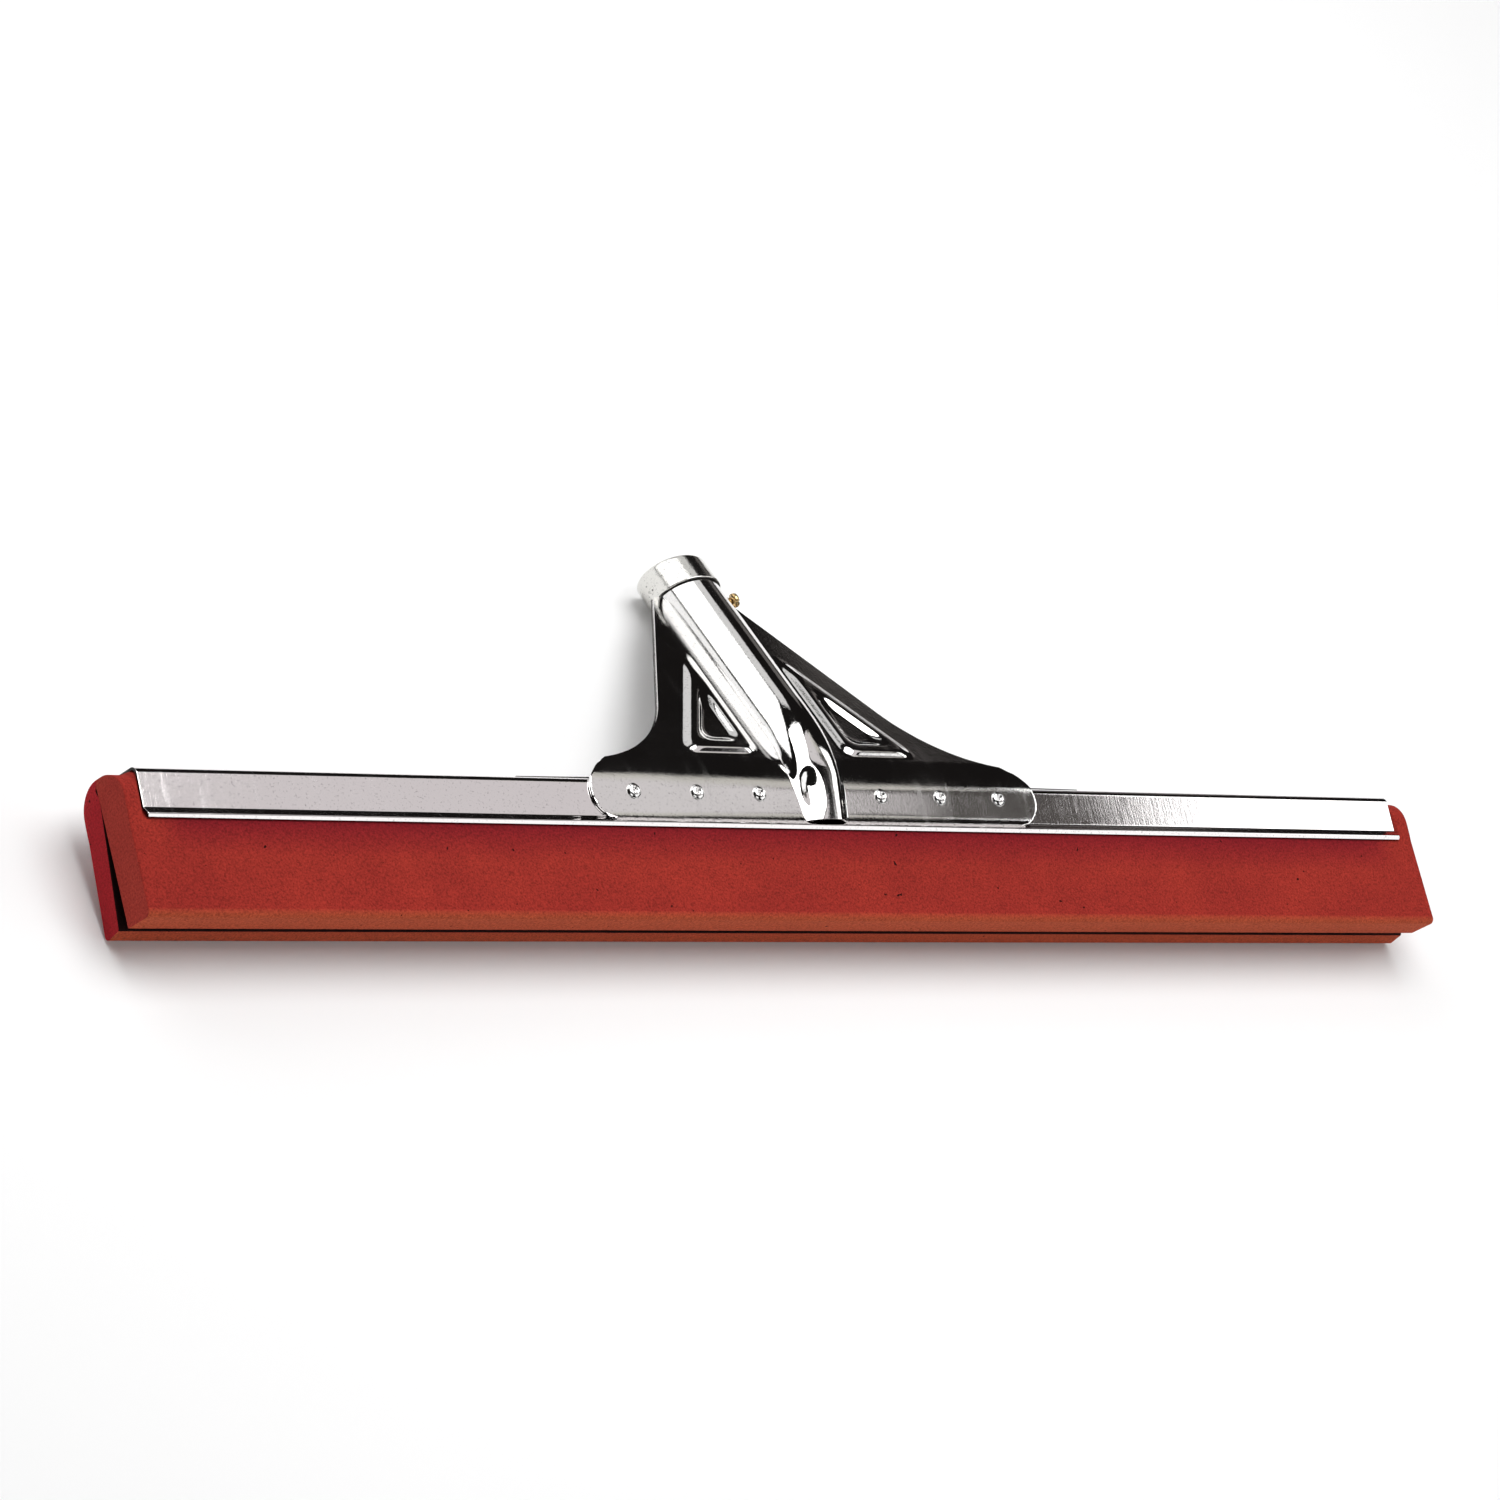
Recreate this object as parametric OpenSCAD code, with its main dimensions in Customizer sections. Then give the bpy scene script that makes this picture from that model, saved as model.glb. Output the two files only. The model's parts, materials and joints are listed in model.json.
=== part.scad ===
// Pole-mounted squeegee head: a folded moss-rubber blade in a steel channel,
// carried by two pressed-steel half shells that form a socket for a round pole.
//
// Every sub-part is drawn in the blade's own frame, in millimetres: X runs along
// the blade, Y goes from its front to its rear, and Z goes from the wiping edge
// up to the socket.  at_rest() then lays the head on its back, on the rear
// wiping edge and the rear of the collar, with the floor at Z = 0.

/* [Blade] */
// Length of the rubber blade
blade_len = 750; // [600:10:1050]
// Thickness across both lips at the wiping edge
blade_t = 33; // [31:0.5:38]
// Height of the rubber, from the wiping edge to its rounded top
blade_h = 65; // [60:0.5:65.5]
// Open width between the two lips at the wiping edge
slit_w = 5.8; // [3:0.2:7]
// How far the rubber sticks out of the channel at each end
blade_overhang = 9; // [5:1:20]

/* [Channel] */
// Outside thickness of the steel channel
channel_t = 28.4; // [28:0.1:29]
// Wall thickness of the channel
channel_wall = 1.2; // [0.8:0.1:1.4]
// How far the bottom rim flares out past the walls
rim_flare = 2.6; // [1:0.1:3]

/* [Bracket] */
// Sheet thickness of the two half shells
sheet_t = 1.2; // [0.8:0.1:1.4]
// Half length of the skirts that hold the channel
skirt_half = 131; // [125:1:150]
// Half length of the rear skirt and of the shelf over the channel
rear_half = 168; // [135:1:200]
// Distance between neighbouring rivets
rivet_pitch = 35.8; // [32:0.2:37]
// Shank diameter of the rivets
rivet_d = 4; // [3:0.5:5]
// Head diameter of the rivets
rivet_head_d = 7.4; // [6:0.2:9]

/* [Socket] */
// Diameter of the pole that the socket takes
pole_d = 28; // [27:0.5:28.5]
// How far the socket leans back from the plane of the blade, in degrees
lean = 28; // [22:1:32]
// Length from the bend above the skirts to the centre of the mouth
socket_len = 138.8; // [130:1:160]
// Slope of the mouth across the socket, in degrees
mouth_slope = 14; // [0:1:16]
// Height of the collar ring
collar_h = 16.8; // [12:0.2:20]

/* [Hidden] */
$fn = 96;

// Clearances
shut_gap = 0.05;                  // between pieces that are fixed together
turn_gap = 0.4;                   // between a lip's round root and its seat
pole_gap = 0.2;                   // radial, between pole and socket wall

// Blade
lip_half = blade_t / 2;
crown_half = channel_t / 2 - channel_wall - shut_gap;
crown_end_half = channel_t / 2 + 0.3;
crown_end_r = 12.5;
root_z = 36;                      // height of the lips' bending axes
front_root_r = 7.6;               // half thickness of the front lip at its root
rear_root_r = 5.3;                // half thickness of the rear lip at its root
front_root_y = -7.6;
rear_root_y = 10;
slit_front_y = -0.5;              // rear face of the front lip, at the edge
slit_tip = [2.2, 52];
eye_d = 2.4;

// Channel
channel_top = 66;
channel_len = blade_len - 2 * blade_overhang;
channel_out = channel_t / 2;
channel_r = 6;
flare_top = 46.4;
flare_bottom = 42.6;

// Bracket
skirt_in = channel_out + shut_gap;
skirt_out = skirt_in + sheet_t;
skirt_bottom = 46.6;
skirt_end_r = 12.7;
skirt_mid = skirt_bottom + skirt_end_r;
bend_z = 69;
rivet_z = 59;
rivet_head_h = 1.6;
rivet_hole_d = rivet_d + 0.1;
shelf_bottom = channel_top + shut_gap;
shelf_front_y = -9;               // front edge of the shelf beyond the front skirt

// Wing outline in the plane of the wings: half width and height above the bend
wing_foot = [[126.5, 0], [124.8, 2], [122.6, 4], [119.8, 5.5]];
wing_top = [[28, 109], [21.8, 120], [14, 121]];
wing_slope = 60.4;
fillet_r = 75;
fillet_c = [129.5, 82];
emboss_h = 1.5;
emboss_outer = [[28, 76], [64, 17.5], [60, 14.5], [28, 14.5]];
emboss_inner = [[34, 57], [53, 26], [51, 23.5], [34, 23.5]];
emboss_centre = [40.5, 30];
emboss_outer_r = 13.5;
emboss_inner_r = 6.5;

// Socket
bore_r = pole_d / 2 + pole_gap;
tube_r = bore_r + sheet_t;
collar_in = tube_r + shut_gap;
collar_r = collar_in + sheet_t;
collar_lip = 2;
stop_s = 17;                      // the pole stops here, on a slight step
stop_r = bore_r - 0.5;
foot_w = 11.2;                    // half width of the foot at the skirt's edge
foot_d = 3;                       // how far the foot stands proud there
bend_foot_d = 4.9;                // and how far it does at the bend
foot_top = 87.5;
screw_s = 112;                    // height of the screw above the bend
screw_side = 25;                  // degrees in front of the wings' plane
screw_d = 4;
screw_hole_d = screw_d + 0.12;
screw_head_d = 8;
screw_head_h = 3;
screw_head_in = tube_r + 3;

// Rest attitude: the back of the collar's mouth and the rear edge of the lips
// both touch the floor.
back_s = socket_len + collar_r * tan(mouth_slope);
back_y = -skirt_in + back_s * sin(lean) + collar_r * cos(lean);
back_z = bend_z + back_s * cos(lean) - collar_r * sin(lean);
rest_angle = atan2(back_y - lip_half, back_z);
rest_low = -lip_half * cos(rest_angle);
rest_y_min = -lip_half * sin(rest_angle);
rest_y_max = back_y * sin(rest_angle) + back_z * cos(rest_angle);

// ---- frames and helpers ----

module at_rest() {
    translate([0, -(rest_y_min + rest_y_max) / 2, -rest_low])
        rotate([rest_angle - 90, 0, 0])
            children();
}

// Extrudes a Y-Z outline along the blade, centred on the middle.
module along_blade(length) {
    rotate([90, 0, 90])
        translate([0, 0, -length / 2])
            linear_extrude(length)
                children();
}

// Plane of the wings: local Z climbs the slope from the bend, local -Y faces front.
module on_wings() {
    translate([0, -skirt_in, bend_z])
        rotate([-lean, 0, 0])
            children();
}

// Extrudes an X-Z outline towards the front, from y = 0 to y = -thickness.
module facing_front(thickness) {
    rotate([90, 0, 0])
        linear_extrude(thickness)
            children();
}

// Solid above the sloping mouth plane that crosses the socket's axis at height s.
module above_mouth(s) {
    translate([0, 0, s])
        rotate([mouth_slope, 0, 0])
            translate([-50, -50, 0])
                cube([100, 100, 100]);
}

// ---- rubber ----

module slit_outline() {
    polygon([
        [slit_front_y, -1],
        [slit_front_y, 0],
        slit_tip,
        [slit_front_y + slit_w + 0.4, 40],
        [slit_front_y + slit_w, 0],
        [slit_front_y + slit_w, -1]
    ]);
}

// Upper part of the folded strip: the roots of the lips hang below root_z.
module crown_outline(half, r, top) {
    translate([-half, root_z])
        square([2 * half, top - r - root_z]);
    translate([-half + r, root_z])
        square([2 * (half - r), top - root_z]);
    for (side = [-1, 1])
        translate([side * (half - r), top - r])
            circle(r);
}

module root_seats() {
    translate([front_root_y, root_z])
        circle(front_root_r + turn_gap);
    translate([rear_root_y, root_z])
        circle(rear_root_r + turn_gap);
}

module rubber_crown() {
    color("firebrick")
        at_rest()
            difference() {
                union() {
                    along_blade(channel_len)
                        crown_outline(crown_half, channel_r - channel_wall,
                                      channel_top - channel_wall - shut_gap);
                    for (side = [-1, 1])
                        translate([side * (blade_len - blade_overhang + 1) / 2, 0, 0])
                            along_blade(blade_overhang - 1)
                                crown_outline(crown_end_half, crown_end_r, blade_h);
                    along_blade(blade_len)
                        translate([-crown_end_half, root_z])
                            square([2 * crown_end_half, flare_bottom - shut_gap - root_z]);
                }
                along_blade(blade_len + 2) {
                    slit_outline();
                    root_seats();
                    translate([slit_tip[0] - 0.4, slit_tip[1] + 6])
                        circle(d = eye_d);
                }
                rivet_rows()
                    cylinder(h = 3 * skirt_out, d = rivet_hole_d, center = true);
            }
}

module lip_front() {
    color("firebrick")
        at_rest()
            along_blade(blade_len) {
                polygon([
                    [-lip_half, 0],
                    [slit_front_y, 0],
                    [front_root_y + front_root_r, root_z],
                    [front_root_y - front_root_r, root_z]
                ]);
                translate([front_root_y, root_z])
                    circle(front_root_r);
            }
}

module lip_rear() {
    color("firebrick")
        at_rest()
            along_blade(blade_len) {
                polygon([
                    [slit_front_y + slit_w, 0],
                    [lip_half, 0],
                    [rear_root_y + rear_root_r, root_z],
                    [rear_root_y - rear_root_r, root_z]
                ]);
                translate([rear_root_y, root_z])
                    circle(rear_root_r);
            }
}

// ---- channel ----

// Outline of the channel's outer face, or of a face that lies inside it by inset.
module channel_outline(inset, bottom) {
    half = channel_t / 2 - inset;
    r = channel_r - inset;
    corner = [half - r, channel_top - inset - r];
    spread = rim_flare * (flare_top - bottom) / (flare_top - flare_bottom);
    polygon(concat(
        [[-half, flare_top], [-half - spread, bottom], [half + spread, bottom], [half, flare_top]],
        [for (a = [0:7.5:90]) corner + r * [cos(a), sin(a)]],
        [for (a = [90:7.5:180]) [-corner[0], corner[1]] + r * [cos(a), sin(a)]]
    ));
}

module channel() {
    color("silver")
        at_rest()
            difference() {
                along_blade(channel_len)
                    channel_outline(0, flare_bottom);
                along_blade(channel_len + 2)
                    channel_outline(channel_wall, flare_bottom - 1);
                rivet_rows()
                    cylinder(h = 3 * skirt_out, d = rivet_hole_d, center = true);
            }
}

// ---- bracket ----

// Places a child at each rivet, with its local Z across the blade.
module rivet_rows() {
    for (side = [-1, 1], n = [1:3])
        translate([side * n * rivet_pitch, 0, rivet_z])
            rotate([90, 0, 0])
                children();
}

function fillet_point(a) = fillet_c + fillet_r * [cos(a), sin(a)];

module wing_outline() {
    half = concat(
        wing_foot,
        [for (a = [-100:-4.2:-90 - wing_slope]) fillet_point(a)],
        wing_top,
        [[0, wing_top[2][1]], [0, 0]]
    );
    polygon(half);
    mirror([1, 0])
        polygon(half);
}

// Scales an outline about a centre.
module scaled_about(centre, k) {
    translate(centre)
        scale([k, k])
            translate(-centre)
                children();
}

// Ring between two triangles on each wing, narrowed by inset along both edges.
module emboss_outline(inset) {
    for (side = [0, 1])
        mirror([side, 0])
            difference() {
                scaled_about(emboss_centre, 1 - inset / emboss_outer_r)
                    polygon(emboss_outer);
                scaled_about(emboss_centre, 1 + inset / emboss_inner_r)
                    polygon(emboss_inner);
            }
}

// Skirt with round ends, cut off straight at its top.
module skirt_outline(half, top) {
    run = half - skirt_end_r;
    intersection() {
        union() {
            translate([-run, skirt_bottom])
                square([2 * run, top + 5 - skirt_bottom]);
            for (side = [-1, 1])
                translate([side * run, skirt_mid])
                    circle(skirt_end_r);
        }
        translate([-half - 1, skirt_bottom - 1])
            square([2 * half + 2, top - skirt_bottom + 1]);
    }
}

// One wing with its embossed triangles, in the frame of on_wings().
module wing_sheet() {
    translate([0, -shut_gap / 2, 0])
        difference() {
            union() {
                facing_front(sheet_t)
                    wing_outline();
                facing_front(sheet_t + emboss_h)
                    emboss_outline(0);
            }
            translate([0, 1, 0])
                facing_front(emboss_h + 1)
                    emboss_outline(sheet_t);
        }
}

// Half of a round bar along the socket's axis, on the front side.
module half_bar(r, from_s, to_s) {
    intersection() {
        translate([0, 0, from_s])
            cylinder(h = to_s - from_s, r = r);
        translate([-r - 1, -r - 1 - shut_gap / 2, from_s - 1])
            cube([2 * r + 2, r + 1, to_s - from_s + 2]);
    }
}

// Limits the socket's bulge to a shallow, narrowing foot where it meets the skirt.
module foot_limit(inset) {
    r_low = (foot_w * foot_w + foot_d * foot_d) / (2 * foot_d);
    r_bend = (tube_r * tube_r + bend_foot_d * bend_foot_d) / (2 * bend_foot_d);
    y_low = -skirt_out - foot_d + r_low;
    y_bend = -skirt_out - bend_foot_d + r_bend;
    rise = bend_z - skirt_bottom;
    drop = 2;
    growth = (r_bend - r_low) / rise;
    tilt = -atan2(y_bend - y_low, rise);
    translate([0, y_low, skirt_bottom])
        rotate([tilt, 0, 0])
            translate([0, 0, -drop])
                cylinder(h = foot_top - skirt_bottom + drop,
                         r1 = r_low - inset - drop * growth,
                         r2 = r_low - inset + (foot_top - skirt_bottom) * growth);
    translate([-50, -60, foot_top])
        cube([100, 160, 130]);
}

module front_bulge(r, inset, low) {
    intersection() {
        on_wings()
            difference() {
                translate([0, 0, -70])
                    cylinder(h = 70 + socket_len + 20, r = r);
                above_mouth(socket_len - collar_lip);
            }
        foot_limit(inset);
        translate([-50, -60, low])
            cube([100, 160, 200]);
    }
}

// The side of both sheets that the socket bulges out to: in front of the wings,
// and below the bend in front of the skirt.
module in_front_of_sheets() {
    on_wings()
        translate([-60, -60 - shut_gap / 2, 0])
            cube([120, 60, 200]);
    translate([-60, -80, 20])
        cube([120, 80 - skirt_in, bend_z + 5 - 20]);
}

module bracket_front() {
    color("lightgray")
        at_rest()
            difference() {
                union() {
                    translate([0, -skirt_in, 0])
                        facing_front(sheet_t)
                            skirt_outline(skirt_half, bend_z);
                    on_wings()
                        wing_sheet();
                    intersection() {
                        front_bulge(tube_r, 0, skirt_bottom);
                        in_front_of_sheets();
                    }
                }
                front_bulge(stop_r, sheet_t, skirt_bottom - 1);
                on_wings()
                    translate([0, 0, stop_s])
                        cylinder(h = socket_len, r = bore_r);
                rivet_rows()
                    cylinder(h = 3 * skirt_out, d = rivet_hole_d, center = true);
                on_wings()
                    screw_axis()
                        cylinder(h = 3 * tube_r, d = screw_hole_d);
            }
}

// Plate over the channel, from front_y back to the rear skirt.
module shelf(half, front_y, thickness) {
    translate([-half, front_y, shelf_bottom])
        cube([2 * half, skirt_out - front_y, thickness]);
}

module bracket_rear() {
    color("gray")
        at_rest()
            difference() {
                union() {
                    translate([0, skirt_out, 0])
                        facing_front(sheet_t)
                            skirt_outline(rear_half, shelf_bottom + sheet_t);
                    shelf(rear_half - 3, shelf_front_y, sheet_t);
                    shelf(skirt_half - skirt_end_r, -skirt_in + shut_gap, sheet_t);
                    intersection() {
                        shelf(skirt_half - skirt_end_r, -skirt_in + shut_gap,
                              bend_z - shelf_bottom);
                        translate([-skirt_half, -skirt_in, 0])
                            cube([2 * skirt_half, sheet_t, 100]);
                    }
                    on_wings()
                        mirror([0, 1, 0])
                            wing_sheet();
                    on_wings()
                        difference() {
                            mirror([0, 1, 0])
                                half_bar(tube_r, 6, socket_len + 20);
                            above_mouth(socket_len - collar_lip);
                        }
                }
                on_wings() {
                    translate([0, 0, stop_s])
                        cylinder(h = socket_len, r = bore_r);
                    translate([0, 0, 4])
                        cylinder(h = socket_len, r = stop_r);
                }
                rivet_rows()
                    cylinder(h = 3 * skirt_out, d = rivet_hole_d, center = true);
            }
}

module collar() {
    color("whitesmoke")
        at_rest()
            on_wings()
                difference() {
                    translate([0, 0, 100])
                        cylinder(h = 60, r = collar_r);
                    difference() {
                        translate([0, 0, 99])
                            cylinder(h = 62, r = collar_in);
                        above_mouth(socket_len - collar_lip + shut_gap);
                    }
                    translate([0, 0, 99])
                        cylinder(h = 62, r = bore_r);
                    above_mouth(socket_len);
                    difference() {
                        translate([-30, -30, 80])
                            cube([60, 60, 80]);
                        above_mouth(socket_len - collar_h);
                    }
                }
}

// ---- fasteners ----

// Local Z runs outwards along the clamp screw, from the socket's axis.
module screw_axis() {
    translate([0, 0, screw_s])
        rotate([0, 0, -screw_side])
            rotate([0, 90, 0])
                children();
}

module clamp_screw() {
    color("goldenrod")
        at_rest()
            on_wings()
                screw_axis()
                    difference() {
                        union() {
                            translate([0, 0, bore_r + 0.1])
                                cylinder(h = screw_head_in - bore_r, d = screw_d);
                            translate([0, 0, screw_head_in])
                                cylinder(h = screw_head_h, d = screw_head_d);
                        }
                        translate([-screw_head_d, -0.6, screw_head_in + screw_head_h - 1.2])
                            cube([2 * screw_head_d, 1.2, 2]);
                    }
}

// Domed head with a drilled centre; its flat side is at z = 0.
module rivet_head() {
    r = rivet_head_d / 2;
    dome_r = (r * r + rivet_head_h * rivet_head_h) / (2 * rivet_head_h);
    difference() {
        intersection() {
            translate([0, 0, rivet_head_h - dome_r])
                sphere(dome_r);
            cylinder(h = rivet_head_h + 1, r = r + 1);
        }
        translate([0, 0, rivet_head_h - 0.9])
            cylinder(h = 2, r = 1.2);
    }
}

module rivet(n) {
    side = n < 4 ? -1 : 1;
    place = n < 4 ? 4 - n : n - 3;
    color("gainsboro")
        at_rest()
            translate([side * place * rivet_pitch, 0, rivet_z])
                rotate([90, 0, 0]) {
                    cylinder(h = 2 * skirt_out, d = rivet_d, center = true);
                    for (face = [0, 1])
                        mirror([0, 0, face])
                            translate([0, 0, skirt_out])
                                rivet_head();
                }
}

rubber_crown();
lip_front();
lip_rear();
channel();
bracket_front();
bracket_rear();
collar();
clamp_screw();
rivet(1);  // rivet_1
rivet(2);  // rivet_2
rivet(3);  // rivet_3
rivet(4);  // rivet_4
rivet(5);  // rivet_5
rivet(6);  // rivet_6
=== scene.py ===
"""A squeegee head for a pole: a folded moss-rubber blade held in a riveted steel channel.

Shapes are drawn in the blade's own frame, in millimetres: X runs along the blade, Y goes
from its front to its rear, and Z goes from the wiping edge up to the socket. blade_frame()
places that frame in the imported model's frame, where the head lies on its back.
"""

import json
import math

import bpy
import numpy as np
from mathutils import Matrix, Vector

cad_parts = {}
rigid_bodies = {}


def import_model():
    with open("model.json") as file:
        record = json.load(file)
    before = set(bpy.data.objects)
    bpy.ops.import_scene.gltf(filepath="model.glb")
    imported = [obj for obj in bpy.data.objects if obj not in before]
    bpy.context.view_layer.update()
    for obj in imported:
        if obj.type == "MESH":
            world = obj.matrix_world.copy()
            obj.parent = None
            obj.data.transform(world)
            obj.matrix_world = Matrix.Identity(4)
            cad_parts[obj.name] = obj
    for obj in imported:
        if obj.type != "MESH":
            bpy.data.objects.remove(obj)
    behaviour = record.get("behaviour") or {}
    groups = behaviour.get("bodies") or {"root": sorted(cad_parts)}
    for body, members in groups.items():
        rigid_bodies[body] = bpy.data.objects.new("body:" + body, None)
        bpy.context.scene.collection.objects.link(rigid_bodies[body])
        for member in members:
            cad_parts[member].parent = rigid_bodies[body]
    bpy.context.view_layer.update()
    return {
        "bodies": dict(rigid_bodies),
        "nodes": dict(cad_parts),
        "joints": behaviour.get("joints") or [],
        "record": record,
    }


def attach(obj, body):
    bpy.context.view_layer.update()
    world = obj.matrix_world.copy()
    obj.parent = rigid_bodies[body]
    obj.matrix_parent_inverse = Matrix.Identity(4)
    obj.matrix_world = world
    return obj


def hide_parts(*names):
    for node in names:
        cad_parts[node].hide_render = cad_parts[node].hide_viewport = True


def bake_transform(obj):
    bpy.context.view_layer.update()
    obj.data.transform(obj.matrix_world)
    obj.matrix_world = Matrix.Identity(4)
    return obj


MM = 0.001

# The blade frame hangs on the two bending axes of the lips.
FRONT_ROOT = (-7.4, 36.0)

# Rubber
BLADE_HALF = 375.0
LIP_HALF = 16.5
SQUEEZED = {"half": 12.9, "r": 4.8, "top": 64.7}
FREE = {"half": 15.2, "r": 13.2, "top": 65.0}
FOLD_Y = 2.0
EDGE_R = 2.6

# Steel
SHEET = 1.2
CHANNEL_HALF = 366.0
SKIRT_Y = 15.45
SKIRT_BOTTOM = 46.6
SKIRT_R = 12.7
SKIRT_RUN = 118.3
REAR_RUN = 155.3
SHELF_Z = 67.25
SHELF_BACK = -8.9
BEND_Z = 69.0
LEAN = math.radians(28)
TUBE_R = 15.4
WING_TOP = 121.0
NECK_TOP = 130.0
COLLAR_R = 16.65
COLLAR_H = 16.8
BORE_R = 14.2
SOCKET_LEN = 138.8
MOUTH_SLOPE = math.tan(math.radians(14))
RIVET_PITCH = 35.8
RIVET_Z = 59.0

# Columns of a shell's mesh on each side, outside its tube
COLUMNS = 105

# Directions up the leaning wings and out of their front, as (Y, Z)
CLIMB = np.array([math.sin(LEAN), math.cos(LEAN)])
FACING = np.array([-math.cos(LEAN), math.sin(LEAN)])

CAMERA_PLACE = (-1743.4, -1892.3, -666.7)


# ---- frame ----


def blade_frame(joints):
    """The matrix from the blade's frame, in mm, to the model's frame, in metres."""
    front = Vector(joints["lip_front_flex"]["pos_m"])
    rear = Vector(joints["lip_rear_flex"]["pos_m"])
    along = Vector((1, 0, 0))
    across = (rear - front).normalized()
    up = along.cross(across)
    origin = front - MM * (FRONT_ROOT[0] * across + FRONT_ROOT[1] * up)
    frame = Matrix((along, across, up)).transposed().to_4x4()
    return Matrix.Translation(origin) @ frame @ Matrix.Scale(MM, 4)


def placed(points):
    """Points of the blade's frame, as an array, in the model's frame."""
    matrix = np.array(BLADE)
    return points @ matrix[:3, :3].T + matrix[:3, 3]


def placed_point(x, y, z):
    return BLADE @ Vector((x, y, z))


# ---- shapes ----


def smooth_step(value, low, high):
    """Eases from 0 at low to 1 at high."""
    t = np.clip((value - low) / (high - low), 0, 1)
    return t * t * (3 - 2 * t)


def smooth_max(a, b, width):
    """The larger value, rounded where the two are closer than width."""
    overlap = np.maximum(width - np.abs(a - b), 0)
    return np.maximum(a, b) + overlap * overlap / (4 * width)


def smooth_min(a, b, width):
    return -smooth_max(-a, -b, width)


def rounded_path(corners, radii, step):
    """Points along a polyline, about step apart, with its inner corners turned into arcs."""
    corners = [np.array(c, float) for c in corners]
    arcs = []
    for before, corner, after, radius in zip(corners, corners[1:], corners[2:], radii):
        back = (before - corner) / np.linalg.norm(before - corner)
        ahead = (after - corner) / np.linalg.norm(after - corner)
        half = math.acos(np.clip(back @ ahead, -1, 1)) / 2
        middle = (back + ahead) / np.linalg.norm(back + ahead)
        centre = corner + middle * radius / math.sin(half)
        first = corner + back * radius / math.tan(half) - centre
        last = corner + ahead * radius / math.tan(half) - centre
        sweep = math.pi - 2 * half
        count = max(4, round(radius * sweep / step * 2))
        arc = []
        for part in [k / count for k in range(count + 1)]:
            mixed = first * math.sin((1 - part) * sweep) + last * math.sin(part * sweep)
            arc.append(centre + mixed / math.sin(sweep))
        arcs.append(arc)
    points = []
    for arc in arcs + [[corners[-1]]]:
        start = points[-1] if points else corners[0]
        count = max(1, round(np.linalg.norm(arc[0] - start) / step))
        skipped = 1 if points else 0
        points += [start + (arc[0] - start) * k / count for k in range(skipped, count)]
        points += list(arc)
    return np.array(points)


def path_normals(path):
    """The unit normal on the right-hand side of each point of a path."""
    along = np.gradient(path, axis=0)
    along /= np.linalg.norm(along, axis=1)[:, None]
    return np.stack([along[:, 1], -along[:, 0]], axis=1)


def add_piece(name, vertices, faces, material, body="head"):
    """Makes a smooth-shaded object from points of the blade's frame."""
    mesh = bpy.data.meshes.new(name)
    mesh.from_pydata(placed(np.asarray(vertices, float)).tolist(), [], faces)
    mesh.shade_smooth()
    mesh.materials.append(material)
    piece = bpy.data.objects.new(name, mesh)
    bpy.context.scene.collection.objects.link(piece)
    if body:
        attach(piece, body)
    return piece


def grid_faces(rows, columns, flip=False, wrap_rows=False, wrap_columns=False):
    """Four-sided faces between the neighbouring points of a grid."""
    faces = []
    for r in range(rows if wrap_rows else rows - 1):
        for c in range(columns if wrap_columns else columns - 1):
            a = r * columns + c
            b = r * columns + (c + 1) % columns
            d = (r + 1) % rows * columns + c
            e = (r + 1) % rows * columns + (c + 1) % columns
            faces.append((a, d, e, b) if flip else (a, b, e, d))
    return faces


def sheet_metal(name, grid, material, flip=False, edge_and_shadow=None):
    """A pressed sheet: grid holds its outer face, and its thickness goes inwards."""
    rows, columns = grid.shape[:2]
    faces = grid_faces(rows, columns, flip)
    piece = add_piece(name, grid.reshape(-1, 3), faces, material)
    thickness = piece.modifiers.new("thickness", "SOLIDIFY")
    thickness.thickness = SHEET * MM
    thickness.offset = -1
    # The rims take the near-black cut-edge steel, partly bare steel and partly painted shadow.
    if edge_and_shadow:
        piece.data.materials.append(edge_and_shadow)
        thickness.material_offset_rim = 1
    rim = piece.modifiers.new("rim", "BEVEL")
    rim.width = 0.3 * MM
    rim.segments = 2
    rim.limit_method = "ANGLE"
    rim.angle_limit = math.radians(65)
    return settled(piece)


def settled(piece):
    """Applies a piece's modifiers to its mesh."""
    shown = piece.evaluated_get(bpy.context.evaluated_depsgraph_get())
    mesh = bpy.data.meshes.new_from_object(shown)
    mesh.name = piece.name
    piece.modifiers.clear()
    piece.data = mesh
    return piece


def lathe(name, profile, centre, axis, material, body="head", segments=40):
    """Turns a profile of (radius, distance along the axis) round an axis."""
    axis = Vector(axis).normalized()
    side = axis.orthogonal().normalized()
    other = axis.cross(side)
    vertices = []
    for radius, distance in profile:
        for k in range(segments):
            angle = 2 * math.pi * k / segments
            spoke = side * math.cos(angle) + other * math.sin(angle)
            vertices.append(Vector(centre) + axis * distance + spoke * radius)
    faces = grid_faces(len(profile), segments, wrap_columns=True)
    faces.append(tuple(range(segments))[::-1])
    faces.append(tuple(range((len(profile) - 1) * segments, len(profile) * segments)))
    return add_piece(name, [tuple(v) for v in vertices], faces, material, body)


# ---- rubber ----


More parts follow.
